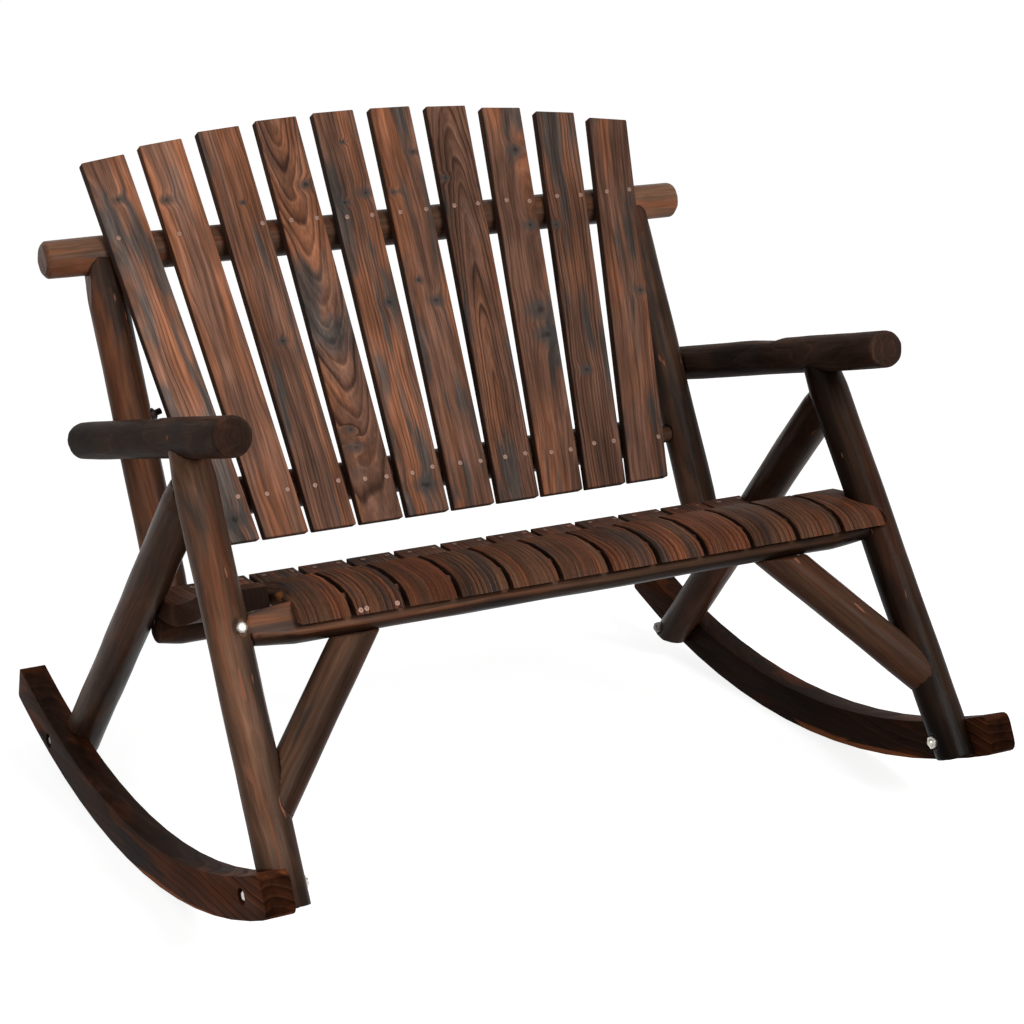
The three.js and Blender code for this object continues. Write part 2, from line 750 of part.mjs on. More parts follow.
// The two bolts of a rocker, each through the half lap of a leg.
const bolt_rocker = ({ word, sign }, frame, rocker, front_leg, rear_leg) => {
  const outer = sign * (rocker_thickness - rocker_recess_depth);
  const places = [
    ['front_rocker', -front_rocker_bolt_front, -front_rocker_bolt_drop, front_leg, front_leg_line(sign)],
    ['rear_rocker', rear_rocker_bolt_back, -rear_rocker_bolt_drop, rear_leg, rear_leg_line(sign)],
  ];
  for (const [label, along, height, leg, line] of places) {
    const leg_middle = at_height(line, height).setY(along);
    const point = frame.worldToLocal(sitting.localToWorld(leg_middle));
    const head_seat = new THREE.Vector3(outer, point.y, point.z);
    const nut_seat = new THREE.Vector3(point.x - sign * (leg_radius - spot_face_depth), point.y, point.z);
    make_bolt(frame, `${label}_${word}`, head_seat, nut_seat, [rocker, leg], { head: rocker, nut: leg });
  }
};

// The bolt through a front leg and the rail's tenon inside it; boards in its way are cut out.
const bolt_leg = ({ word, sign }, leg, rail, boards) => {
  const [foot, head] = front_leg_line(sign);
  const up_leg = head.clone().sub(foot).setX(0).normalize();
  const forwards = new THREE.Vector3(0, -up_leg.z, up_leg.y);
  const leg_middle = at_height([foot, head], -front_rail_drop);
  const middle = front_rail_point(leg_middle.x - sign * leg_bolt_inset);
  const head_seat = middle.clone().addScaledVector(forwards, leg_bolt_front_seat);
  const nut_seat = middle.clone().addScaledVector(forwards, -leg_bolt_rear_seat);
  make_bolt(sitting, `leg_${word}`, head_seat, nut_seat, [leg, rail], { head: leg, nut: leg });
  const head_end = head_seat.clone().addScaledVector(forwards, bolt_head_height + joint_gap + joint_gap);
  const tip_end = nut_seat.clone().addScaledVector(forwards, -nut_height - bolt_tip_length - joint_gap);
  const room = cutter_in(sitting, rod(tip_end, head_end, recess_radius));
  boards.forEach((board) => carve(board, room));
};

// The slanting bolt that holds an arm against its post: its root is blind in the arm, its nut is on the post.
const bolt_arm = ({ word, sign }, arm, post) => {
  const [rear, front] = arm_line(sign);
  const share = (arm_back - arm_bolt_back) / (arm_back + arm_front);
  const middle = rear.clone().lerp(front, share);
  const inwards = new THREE.Vector3(-sign * Math.cos(arm_bolt_lean), 0, Math.sin(arm_bolt_lean));
  const root = middle.clone().addScaledVector(inwards, -arm_bolt_root);
  const nut_seat = middle.clone().addScaledVector(inwards, arm_bolt_inner_seat);
  const tip = nut_seat.clone().addScaledVector(inwards, nut_height + arm_bolt_tip_length);
  add_piece(sitting, `arm_${word}_bolt`, zinc, rod(root, tip, bolt_radius, bolt_sides));
  add_nut(sitting, `arm_${word}`, nut_seat, inwards);
  const blind_end = root.clone().addScaledVector(inwards, -joint_gap);
  const far = nut_seat.clone().addScaledVector(inwards, overrun);
  const hole = cutter_in(sitting, rod(blind_end, far, bolt_radius + joint_gap, bolt_sides));
  carve(arm, hole);
  carve(post, hole, cutter_in(sitting, rod(nut_seat, far, recess_radius)));
};

const build_bench = () => {
  make_top_rail();
  make_lower_rail();
  for (let index = 0; index < slat_count; index += 1) {
    make_slat(index);
  }
  const front_rail = make_front_rail();
  make_rear_rail();
  const outline = board_outline();
  const rail_cutters = [front_rail_body(joint_gap), rear_rail_body(joint_gap)];
  const boards = [];
  for (let index = 0; index < board_count; index += 1) {
    boards.push(make_board(index, outline, rail_cutters));
  }
  fit_end_boards(boards.at(0), boards.at(-1));
  for (const side of sides) {
    const frame = rocker_frame(side.sign);
    const rocker = make_rocker(side, frame);
    const front_leg = make_front_leg(side, frame);
    const rear_leg = make_rear_leg(side, frame);
    const arm = make_arm(side);
    const post = make_post(side);
    make_brace(side);
    carve(front_leg, front_rail_tenons(joint_gap));
    bolt_rocker(side, frame, rocker, front_leg, rear_leg);
    bolt_leg(side, front_leg, front_rail, boards);
    bolt_arm(side, arm, post);
  }
};

// Stands the bench on the floor with the origin under the middle of its outline.
const centre_bench = () => {
  const outline = new THREE.Box3().setFromObject(bench, true);
  const middle = outline.getCenter(new THREE.Vector3());
  bench.position.set(-middle.x, -middle.y, -outline.min.z);
  bench.updateMatrixWorld(true);
};

build_bench();
centre_bench();

export default bench;
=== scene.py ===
# %% [markdown]
# # A log rocking bench, finished in stained fir
# The bench is a two-seater made of peeled poles and sawn boards, stained dark brown.
# The solids of its pieces are ready. This lesson softens their edges, cuts their grain,
# drives the screws, dulls the bolts and lights the bench like a catalogue picture.

# %% Load the bench
import random
from collections import namedtuple
from math import cos, pi, radians, tan

import bmesh
import bpy
import numpy as np
from mathutils import Euler, Matrix, Vector


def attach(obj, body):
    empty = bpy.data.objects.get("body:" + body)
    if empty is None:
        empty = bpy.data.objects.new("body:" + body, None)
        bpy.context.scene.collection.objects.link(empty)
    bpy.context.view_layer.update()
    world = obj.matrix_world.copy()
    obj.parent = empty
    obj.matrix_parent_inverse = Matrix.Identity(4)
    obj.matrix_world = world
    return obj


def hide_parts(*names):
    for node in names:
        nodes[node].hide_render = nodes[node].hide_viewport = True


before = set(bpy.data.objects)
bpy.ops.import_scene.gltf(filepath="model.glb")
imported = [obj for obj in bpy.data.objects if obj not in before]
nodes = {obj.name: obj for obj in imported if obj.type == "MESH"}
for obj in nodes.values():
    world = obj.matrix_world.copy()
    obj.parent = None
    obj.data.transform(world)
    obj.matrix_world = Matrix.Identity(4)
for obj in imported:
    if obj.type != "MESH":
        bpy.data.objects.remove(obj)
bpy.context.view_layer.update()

print("solids of the bench:", len(nodes))

# %% [markdown]
# ## The camera
# The bench is seen from a little above its seat and from its left front corner, through a long
# lens. A long lens keeps the posts and legs nearly parallel, as in a catalogue picture.
# The three turns are heading, downward pitch and a slight roll, applied in that order.

# %% Camera
camera_place = Vector((-1.5625, -3.1476, 1.4589))
camera_heading = radians(-26.95)
camera_pitch = radians(16.14)
camera_roll = radians(-0.873)

bpy.ops.object.camera_add(location=camera_place)
camera = bpy.context.object
camera.name = "picture_camera"
level_turn = Euler((pi / 2 - camera_pitch, 0, camera_heading)).to_quaternion()
camera.rotation_euler = (level_turn @ Euler((0, 0, camera_roll)).to_quaternion()).to_euler()
camera.data.sensor_width = 36
camera.data.lens = 85.42
camera.data.clip_end = 200
bpy.context.scene.camera = camera
print("camera:", camera.name, "with a lens of", round(camera.data.lens, 2), "mm")

# %% [markdown]
# ## Helpers for selecting and finishing
# Blender's operators act on whatever is selected, so each step starts by letting go of
# everything and holding one piece. A finished piece takes the place of its solid.

# %% Hold one piece
def hold(piece):
    bpy.ops.object.select_all(action="DESELECT")
    piece.select_set(True)
    bpy.context.view_layer.objects.active = piece


def apply_modifier(piece, kind, **settings):
    """Adds a modifier, sets it and applies it at once."""
    hold(piece)
    modifier = piece.modifiers.new(kind.lower(), kind)
    for name, value in settings.items():
        setattr(modifier, name, value)
    bpy.ops.object.modifier_apply(modifier=modifier.name)


def settle(piece):
    """Puts the piece's place, turn and size into its mesh."""
    hold(piece)
    bpy.ops.object.transform_apply(location=True, rotation=True, scale=True)


# %% Copy a solid to work on
weld_distance = 0.00002
flat_enough = radians(0.5)


def rough_copy(node_name):
    """A copy of a solid with its triangles joined back into whole faces."""
    bpy.ops.object.select_all(action="DESELECT")
    piece = bpy.data.objects.new(node_name + "_worked", nodes[node_name].data.copy())
    bpy.context.scene.collection.objects.link(piece)
    piece.data.materials.clear()
    hold(piece)
    bpy.ops.mesh.customdata_custom_splitnormals_clear()
    bpy.ops.object.mode_set(mode="EDIT")
    bpy.ops.mesh.select_all(action="SELECT")
    bpy.ops.mesh.remove_doubles(threshold=weld_distance)
    bpy.ops.mesh.dissolve_limited(angle_limit=flat_enough)
    bpy.ops.object.mode_set(mode="OBJECT")
    return piece


def finish(piece, slot, material, *node_names):
    """The finished piece takes its material and stands for its solids."""
    piece.data.materials.clear()
    piece.data.materials.append(material)
    if node_names:
        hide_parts(*node_names)
    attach(piece, "root")


# %% [markdown]
# ## The frame of the bench
# The bench was drawn level and then tipped back on its rockers. Tones, screws, braces and other
# small things are easier to place in the level drawing, so a few small functions lead from
# there to where the bench stands, and back.

# %% From the level drawing to the tipped bench
sides = ("left", "right")
millimetre = 0.001
rest_tilt = radians(13.17)
back_lean = radians(14.13)
tip_back = Matrix.Rotation(-rest_tilt, 4, "X")
rocker_radius = 1.377
rocking_centre = Vector((0, -0.294, 0.9195))
bench_middle = Vector((0, 0.05332, -0.00047))
lift = Vector((0, 0, rocker_radius)) - (tip_back @ rocking_centre) + bench_middle
drawing = Matrix.Translation(lift) @ tip_back
to_drawing = drawing.inverted()
back_plane = drawing @ Matrix.Rotation(pi / 2 - back_lean, 4, "X")
upwards = tip_back @ Vector((0, 0, 1))
backwards = tip_back @ Vector((0, 1, 0))


def in_drawing(x, y, z):
    return drawing @ (Vector((x, y, z)) * millimetre)


def on_back(x, rise, out=0.0):
    return back_plane @ (Vector((x, rise, out)) * millimetre)


def at_each_point(piece, value_at):
    """What a rule gives each point, from where it is and how it faces in the level drawing."""
    turn = to_drawing.to_3x3()
    return [value_at(to_drawing @ vertex.co, turn @ vertex.normal)
            for vertex in piece.data.vertices]


def go_between(value, low, high, at_low, at_high):
    """Goes evenly from one number to another while the value goes from low to high."""
    share = min(1.0, max(0.0, (value - low) / (high - low)))
    return at_low + (at_high - at_low) * share


# %% [markdown]
# ## How the grain is laid
# A tree's rings are cylinders round its pith, and a board's figure is where its faces cut them.
# So every piece stores, at each point, where that point was in the tree: how far sideways and
# how deep from the pith, and how far up the trunk. One material can then saw all the pieces from
# one kind of wood, each with its own figure. Poles hold the pith near their middle, and boards
# come from beside it. Depth is counted towards the front and the top, where the bench is seen.

# %% Store a value at each point
def store_numbers(piece, name, numbers):
    """Stores a number for each point, under a name that a material looks up."""
    piece.data.attributes.new(name, "FLOAT", "POINT").data.foreach_set("value", numbers)


def store_vectors(piece, name, vectors):
    """Stores three numbers for each point, under a name that a material looks up."""
    parts = [part for vector in vectors for part in vector]
    piece.data.attributes.new(name, "FLOAT_VECTOR", "POINT").data.foreach_set("vector", parts)


# %% Store each point's place in the tree
facing = Vector((0, -0.7, 0.7))
trunk = random.Random(19)
Axes = namedtuple("Axes", "middle across along depth")


def stray(most):
    """A random step of at most so much, either way."""
    return trunk.uniform(-most, most)


def trunk_axes(piece):
    """The piece's long axis and two axes across it, from the spread of its points."""
    points = np.array([vertex.co for vertex in piece.data.vertices])
    middle = (points.max(axis=0) + points.min(axis=0)) / 2
    spread = np.linalg.svd(points - points.mean(axis=0), full_matrices=False)[2]
    along = Vector(spread[0])
    if max(along, key=abs) < 0:
        along.negate()
    depth = (facing - along * facing.dot(along)).normalized()
    return Axes(Vector(middle), along.cross(depth), along, depth)


def place_in_tree(spot, axes, beside, below, up_the_trunk, lean=0.0, depth_share=1.0):
    """Sideways, up the trunk and deep, counted from the pith. A lean saws the board aslant."""
    spot = spot - axes.middle
    rise = spot.dot(axes.along)
    deep = spot.dot(axes.depth) * depth_share + below + lean * rise
    return (spot.dot(axes.across) + beside, rise + up_the_trunk, deep)


def lay_grain(piece, axes, *where, **how):
    places = [place_in_tree(vertex.co, axes, *where, **how) for vertex in piece.data.vertices]
    store_vectors(piece, "grain", places)


# %% [markdown]
# No two boards take the stain alike. Each piece also stores its own tone: how light it is, and
# how much rust colour and slate colour show in it, and how strongly its rings show. Sawn edges
# drink more stain than faces, so a last value says how far a point lies towards an edge. On the
# slats and seat boards that dark edge is partly painted shade, on their sides and under the
# backrest.

# %% Store each piece's tone and its dark edges
def evenly(value):
    """A rule that gives every point the same value."""
    return lambda place, way: value


def set_tone(piece, tone_at, figure_at):
    """Stores the tone, and the strength of the rings, that two rules give each point."""
    store_vectors(piece, "tone", at_each_point(piece, tone_at))
    store_numbers(piece, "figure", at_each_point(piece, figure_at))


def darken_edges(piece, edge_share):
    """The share of edge is found for each point, and is never more than the whole."""
    store_numbers(piece, "edge", [min(1.0, edge_share(vertex)) for vertex in piece.data.vertices])


# %% [markdown]
# ## The stained wood
# The stain sinks into the soft spring wood and leaves the hard summer rings warmer. Knots are
# dark and push the rings aside. Long blue-grey and rust-coloured streaks follow the grain.
# The rings could be a wave texture, but that repeats too evenly. Here the distance to the pith
# is bent by slow noise, which gives the pointed arches of a flat-sawn board, and a ramp
# colours one year of growth.

# %% Node helpers
def shade(hex_colour):
    """A colour written as it should look, turned into the linear values that a shader takes."""
    parts = [int(hex_colour[i:i + 2], 16) / 255 for i in (0, 2, 4)]
    return tuple(p / 12.92 if p <= 0.04045 else ((p + 0.055) / 1.055) ** 2.4 for p in parts) + (1,)


class Nodes:
    """A short way to add and join the nodes of one material."""

    def __init__(self, name):
        self.material = bpy.data.materials.new(name)
        self.material.use_nodes = True
        self.tree = self.material.node_tree
        self.shader = self.tree.nodes["Principled BSDF"]

    def add(self, kind, inputs=(), **settings):
        node = self.tree.nodes.new("ShaderNode" + kind)
        for name, value in settings.items():
            setattr(node, name, value)
        for name, value in dict(inputs).items():
            if isinstance(value, bpy.types.NodeSocket):
                self.tree.links.new(value, node.inputs[name])
            else:
                node.inputs[name].default_value = value
        return node

    def look_up(self, stored_name, output="Fac"):
        return self.add("Attribute", attribute_name=stored_name).outputs[output]

    def sum_up(self, operation, *numbers):
        return self.add("Math", enumerate(numbers), operation=operation).outputs[0]

    def vector_sum(self, operation, *vectors):
        return self.add("VectorMath", enumerate(vectors), operation=operation).outputs

    def split(self, vector):
        return self.add("SeparateXYZ", {"Vector": vector}).outputs

    def join(self, x, y, z=0.0):
        return self.add("CombineXYZ", {"X": x, "Y": y, "Z": z}).outputs["Vector"]

    def stretch(self, vector, amounts, shift=(0, 0, 0)):
        inputs = {"Vector": vector, "Scale": amounts, "Location": shift}
        return self.add("Mapping", inputs).outputs["Vector"]

    def noise(self, vector, detail=2.0, roughness=0.5, output="Fac"):
        inputs = {"Vector": vector, "Scale": 1.0, "Detail": detail, "Roughness": roughness}
        return self.add("TexNoise", inputs).outputs[output]

    def fade(self, value, low, high, at_low=0.0, at_high=1.0):
        inputs = {"Value": value, "From Min": low, "From Max": high,
                  "To Min": at_low, "To Max": at_high}
        return self.add("MapRange", inputs, interpolation_type="SMOOTHSTEP").outputs["Result"]

    def blend(self, amount, first, second, mode="MIX"):
        inputs = {0: amount, 6: first, 7: second}
        return self.add("Mix", inputs, data_type="RGBA", blend_type=mode).outputs[2]

    def ramp(self, value, stops):
        """A grey that goes from stop to stop."""
        node = self.add("ValToRGB", {"Fac": value})
        elements = node.color_ramp.elements
        while len(elements) < len(stops):
            elements.new(1.0)
        for element, (place, grey) in zip(elements, stops):
            element.position = place
            element.color = (grey, grey, grey, 1)
        return node.outputs["Color"]

    def bump(self, height, strength, distance):
        inputs = {"Height": height, "Strength": strength, "Distance": distance}
        self.wire(self.add("Bump", inputs).outputs["Normal"], "Normal")

    def wire(self, output, name):
        self.tree.links.new(output, self.shader.inputs[name])


# %% [markdown]
# Each pattern is given by how often it repeats in a metre: sideways, up the trunk, and deep or
# round the rings. It is shifted as well, so that no two patterns lie on each other. The two
# stains also have the values of the noise where they set in and are full, and their strength.

# %% Colours and patterns of the wood
pale_ring = shade("a87c60")
bruised_wood = shade("96604a")
bare_wood_and_highlight = shade("b06a44")
edge_stain_and_shade = shade("281b16")

bend_pattern = (11, 4, 11)
wobble_pattern = (120, 60, 120)
fibre_pattern = (700, 16, 700)
cloud_pattern, cloud_shift = (14, 7, 14), (5, 3, 1)
bruise_pattern, bruise_shift = (95, 17, 95), (8, 2, 5)
fine_pattern, fine_shift = (230, 6, 230), (2, 2, 2)
broad_pattern, broad_shift = (80, 3, 80), (4, 6, 2)
rust_stain = ((34, 2.6, 34), (7, 0, 4), 0.6, 0.76, 0.85)
slate_stain = ((38, 4.5, 30), (1, 5, 9), 0.68, 0.8, 0.8)
reach_of_share = 0.3

one_year = [(0.0, 0.0), (0.5, 0.12), (0.8, 1.0), (0.9, 0.9), (0.99, 0.0)]
faintest_year = 0.3
knot_wobble = 1.8
ring_push = 0.0045
ring_push_reach = 4.5
edge_strength = 0.7


# %% Stained wood
def nearest_knot(wood, place, knots, knot_shape):
    """How many knot radii away the nearest knot is. Its shape stretches it across the grain."""
    shaped_place = wood.stretch(place, knot_shape)
    reach = None
    for middle, radius in knots:
        shaped_middle = tuple(part * share for part, share in zip(middle, knot_shape))
        distance = wood.vector_sum("DISTANCE", shaped_place, shaped_middle)["Value"]
        steps = wood.sum_up("DIVIDE", distance, radius)
        reach = steps if reach is None else wood.sum_up("MINIMUM", reach, steps)
    wobble = wood.noise(wood.stretch(place, wobble_pattern), 3.0, 0.6)
    reach = wood.sum_up("SUBTRACT", reach, knot_wobble / 2)
    return wood.sum_up("MULTIPLY_ADD", wobble, knot_wobble, reach)


def stained_wood(name, spring, summer, rust, slate, *, year, figure, rust_share, slate_share,
                 wander=0.02, knots=(), knot_heart="1c1513", knot_shape=(0.8, 1.2, 0),
                 streaks=1.0, flecks=0.0, around=1.0, roughness=0.6, shine=0.05):
    """Wood whose yearly rings go from spring to summer colour, streaked with rust and slate.

    A year is the width of a ring in metres, and slow noise bends the rings by the wander.
    The figure is how strongly they show, and around is how short the streaks are round them.
    """
    wood = Nodes(name)
    spring, summer, rust, slate = map(shade, (spring, summer, rust, slate))
    place = wood.look_up("grain", "Vector")
    tone = wood.split(wood.look_up("tone", "Vector"))
    strength = wood.look_up("figure")
    edge = wood.look_up("edge")
    wear_and_highlight = wood.look_up("wear_and_highlight")

    # The rings, bent by slow noise and pushed aside by the knots
    bend = wood.noise(wood.stretch(place, bend_pattern), output="Color")
    bend = wood.vector_sum("SUBTRACT", bend, (0.5, 0.5, 0.5))["Vector"]
    bent_place = wood.vector_sum("MULTIPLY_ADD", bend, (wander, 0, wander), place)["Vector"]
    parts = wood.split(bent_place)
    ring = wood.vector_sum("LENGTH", wood.join(parts["X"], parts["Z"]))["Value"]
    if knots:
        reach = nearest_knot(wood, place, knots, knot_shape)
        push = wood.fade(reach, 0.0, ring_push_reach, ring_push, 0.0)
        ring = wood.sum_up("ADD", ring, push)
    ring_place = wood.join(ring, parts["Y"], parts["X"])

    # One year of growth, and how clear each year shows
    years = wood.sum_up("DIVIDE", ring, year)
    season = wood.sum_up("FRACT", years)
    hard_year = wood.add("TexWhiteNoise", {"W": wood.sum_up("FLOOR", years)}, noise_dimensions="1D")
    clear = wood.fade(hard_year.outputs["Value"], 0.0, 1.0, faintest_year * figure, figure)
    clear = wood.sum_up("MULTIPLY", strength, clear)
    late = wood.sum_up("MULTIPLY", wood.ramp(season, one_year), clear)
    colour = wood.blend(late, spring, summer)

    # The two stains, and the pale line at the start of each year
    def streak_noise(pattern, shift, detail=3.0):
        sideways, up, round_rings = pattern
        amounts = (sideways, up, round_rings * around)
        return wood.noise(wood.stretch(ring_place, amounts, shift), detail, 0.6)

    def stain_mask(stain, share, own_tone):
        pattern, shift, begin, full, depth = stain
        streak = wood.sum_up("ADD", streak_noise(pattern, shift), own_tone)
        lower = reach_of_share * share
        return wood.fade(streak, begin - lower, full - lower, 0.0, depth)

    rust_mask = stain_mask(rust_stain, rust_share, tone["Y"])
    colour = wood.blend(rust_mask, colour, wood.blend(late, rust, summer))
    colour = wood.blend(stain_mask(slate_stain, slate_share, tone["Z"]), colour, slate)
    pale_line = wood.sum_up("MULTIPLY", clear, wood.fade(season, 0.0, 0.22, 0.3, 0.0))
    colour = wood.blend(pale_line, colour, pale_ring)

    # Fibres, streaks and clouds, each from how much darker to how much lighter
    fibre = wood.noise(wood.stretch(place, fibre_pattern), 3.0, 0.65)
    fine = streak_noise(fine_pattern, fine_shift)
    broad = streak_noise(broad_pattern, broad_shift, 2.0)
    cloud = wood.noise(wood.stretch(place, cloud_pattern, cloud_shift), 3.0)
    lightness = tone["X"]
    for pattern, low, high, darker, lighter in (
            (fibre, 0.3, 0.7, 0.2 * streaks, 0.18 * streaks),
            (fine, 0.36, 0.64, 0.32 * streaks, 0.26 * streaks),
            (broad, 0.36, 0.64, 0.2 * streaks, 0.16 * streaks),
            (cloud, 0.32, 0.68, 0.26, 0.18)):
        change = wood.fade(pattern, low, high, 1 - darker, 1 + lighter)
        lightness = wood.sum_up("MULTIPLY", lightness, change)
    colour = wood.blend(1.0, colour, lightness, "MULTIPLY")

    # Bruises, knots, wear, painted highlights and edges darkened by stain and painted shade
    if flecks:
        bruise = wood.noise(wood.stretch(place, bruise_pattern, bruise_shift), 1.0)
        bruise = wood.fade(bruise, 0.76 - flecks, 0.8 - flecks, 0.0, 0.75)
        colour = wood.blend(bruise, colour, bruised_wood)
    if knots:
        colour = wood.blend(wood.fade(reach, 0.6, 2.6, 0.75, 0.0), colour, slate)
        colour = wood.blend(wood.fade(reach, 0.1, 0.8, 0.6, 0.0), colour, shade(knot_heart))
    # Real wear on the arm's scratch, and a painted highlight along the rockers' lower arris
    colour = wood.blend(wood.fade(wear_and_highlight, 0.1, 0.8, 0.0, 0.9), colour, bare_wood_and_highlight)
    # Dark edges: stain on end grain, painted shade on the sides and backs of slats and boards
    colour = wood.blend(wood.sum_up("MULTIPLY", edge, edge_strength), colour, edge_stain_and_shade)
    wood.wire(colour, "Base Color")

    # Summer rings and edges are the most matt, and the relief follows rings, fibres and streaks
    matt = wood.sum_up("ADD", late, fine)
    matt = wood.fade(matt, 0.3, 1.5, roughness - 0.08, roughness + 0.14)
    wood.wire(wood.sum_up("MULTIPLY_ADD", edge, 0.25, matt), "Roughness")
    wood.shader.inputs["Specular IOR Level"].default_value = shine
    relief = wood.sum_up("MULTIPLY_ADD", late, 0.7, wood.sum_up("MULTIPLY", fibre, 0.35))
    relief = wood.sum_up("MULTIPLY_ADD", fine, 0.4, relief)
    wood.bump(relief, 0.5, 0.001)
    return wood.material


# %% Wood of the poles and rockers
log_wood = stained_wood("log_wood", "644838", "3a2920", "764832", "443a35", year=0.004,
                        figure=0.15, rust_share=0.3, slate_share=0.4, streaks=0.55,
                        flecks=0.02, roughness=0.38, shine=0.035)
arm_wood = stained_wood("arm_wood", "32251f", "1f1613", "402a20", "272120", year=0.004,
                        figure=0.1, rust_share=0.3, slate_share=0.4, streaks=0.7,
                        roughness=0.5, shine=0.005)
rocker_wood = stained_wood("rocker_wood", "38241b", "1b120f", "6a3a22", "221b18", year=0.006,
                           figure=0.6, rust_share=0.3, slate_share=0.4, streaks=0.7,
                           around=0.4, roughness=0.58, shine=0.01)
print("woods mixed:", log_wood.name, arm_wood.name, rocker_wood.name)

# %% [markdown]
# ## The poles
# Legs, arms, posts, rails and braces are peeled poles. Peeling leaves a pole slightly lumpy, with
# long flats where the drawknife went. The solid's 24 sides are wrapped in a fine even skin by a
# voxel remesh, smoothed a little, and pushed in and out by a cloud texture. An empty that lies
# along the pole stretches the clouds into long flats.

# %% Peel the poles
pole_skin = 0.003
lump_height = 0.0035
flat_stretch = 7
peeling = bpy.data.textures.new("peeling", "CLOUDS")
peeling.noise_scale = 0.03
peeling.noise_depth = 2


def peel(piece, rounds):
    """More rounds of smoothing leave softer arrises."""
    axes = trunk_axes(piece)
    piece.data.remesh_voxel_size = pole_skin
    hold(piece)
    bpy.ops.object.voxel_remesh()
    apply_modifier(piece, "SMOOTH", factor=0.5, iterations=rounds)
    bpy.ops.object.empty_add(location=axes.middle)
    stretcher = bpy.context.object
    turn = Matrix((axes.across, axes.along, axes.depth)).transposed().to_quaternion()
    stretcher.rotation_euler = turn.to_euler()
    stretcher.scale = (1, flat_stretch, 1)
    bpy.context.view_layer.update()
    apply_modifier(piece, "DISPLACE", texture=peeling, texture_coords="OBJECT",
                   texture_coords_object=stretcher, strength=lump_height, mid_level=0.5)
    bpy.data.objects.remove(stretcher)
    hold(piece)
    bpy.ops.object.shade_smooth()
    return axes


# %% [markdown]
# ## The braces
# Each brace runs up from its front leg to the underside of the front rail. It is a pole laid
# between two points, from which the leg and the rail are cut away. Its top is sawn off level
# with the rail's underside, which a ray sent up from below finds.

# %% Lay the braces
def pole_between(name, start, end, radius, side_count):
    bpy.ops.object.select_all(action="DESELECT")
    bpy.ops.mesh.primitive_cylinder_add(vertices=side_count, radius=radius,
                                        depth=(end - start).length)
    pole = bpy.context.object
    pole.name = name
    pole.rotation_euler = (end - start).to_track_quat("Z", "Y").to_euler()
    pole.location = (start + end) / 2
    settle(pole)
    return pole


def cut_away(piece, cutter):
    """Cuts the cutter's shape out of the piece, and puts the cutter away."""
    apply_modifier(piece, "BOOLEAN", operation="DIFFERENCE", object=cutter, solver="EXACT")
    bpy.data.objects.remove(cutter)


def saw_off(piece, point, direction):
    """Cuts off what lies beyond a plane and closes the cut."""
    hold(piece)
    bpy.ops.object.mode_set(mode="EDIT")
    bpy.ops.mesh.select_all(action="SELECT")
    bpy.ops.mesh.bisect(plane_co=point, plane_no=direction, clear_outer=True, use_fill=True)
    bpy.ops.object.mode_set(mode="OBJECT")


brace_radius = 0.029
brace_side_count = 48
braces = {}
for side, sign in zip(sides, (-1, 1)):
    top = in_drawing(sign * 311, -371, -80)
    foot = in_drawing(sign * 526.8, -468.8, -322)
    below_rail = in_drawing(sign * 335, -396, -300)
    name = "brace_" + side
    brace = pole_between(name + "_worked", top, foot, brace_radius, brace_side_count)
    rail = rough_copy("front_seat_rail")
    bpy.context.view_layer.update()
    _, underside, _, _ = rail.ray_cast(below_rail, upwards)
    cut_away(brace, rail)
    cut_away(brace, rough_copy("front_leg_" + side))
    saw_off(brace, underside - upwards * millimetre, upwards)
    print(name, "sawn at", tuple(round(part, 4) for part in underside))
    braces[name] = brace

# %% [markdown]
# ## Peel and stain the poles
# The tones follow the bench in the picture: the left front leg and the top rail are the
# lightest, the arms are nearly black, and the right side is darker than the left. The legs,
# posts and braces have painted shade along their sides, a share of dark on their left and on
# their right, as the picture shows them. The front legs have painted shade at the foot, and the
# front rail along its underside; it is also darker towards the right. The top rail is darker
# between the slats, partly stain and partly painted shadow of the slats.
# The arms are dark on their end grain, and the left arm has one small scratch.

# %% Tones of the poles
# Lightness, rust and slate of each pole
pole_tones = {
    "top_rail": (1.7, 0.02, -0.03), "lower_back_rail": (0.7, 0.0, 0.05),
    "front_seat_rail": (1.05, 0.05, 0.05), "rear_seat_rail": (0.45, 0.0, 0.1),
    "front_leg_left": (1.85, 0.0, 0.0), "front_leg_right": (0.24, 0.02, 0.02),
    "rear_leg_left": (0.85, 0.0, 0.0), "rear_leg_right": (0.72, 0.0, 0.02),
    "post_left": (0.85, 0.16, 0.05), "post_right": (0.75, 0.04, 0.05),
    "brace_left": (0.8, 0.03, -0.05), "brace_right": (0.5, 0.06, -0.05),
    "arm_left": (1.9, 0.0, 0.0), "arm_right": (2.2, 0.0, 0.0),
}
# How much painted shade a pole has on its left and on its right
painted_side_shade = {
    "front_leg_left": (0.3, 0.75), "front_leg_right": (0.6, 0.0), "rear_leg_left": (0.1, 0.8),
    "rear_leg_right": (0.4, 0.4), "post_left": (0.0, 0.6), "post_right": (0.4, 0.5),
    "brace_left": (0.2, 0.65), "brace_right": (0.0, 0.3),
}
# The way to the right in the picture, and how far a face turns before it is a side
picture_right = (0.89, -0.45)
turned_right = (0.05, 0.7)
turned_left = (-0.3, -0.85)
# Where a stretch begins and ends in the drawing, in metres, and how light it is at both
# Painted shade at the foot of the front legs, beside the rockers
leg_foot_shade = (-0.34, -0.41, 1.0, 0.35)
# The top rail is darker between the slats, partly stain and partly painted shadow of the slats
top_rail_end = (0.42, 0.46, 0.45, 1.0)
front_rail_run = (-0.35, 0.2, 1.0, 0.5)
# Painted shade on the front rail's underside: from a face that looks down to one that looks level,
# and how light each is
front_rail_underside_shade = (-0.6, -0.25, 0.25, 1.0)


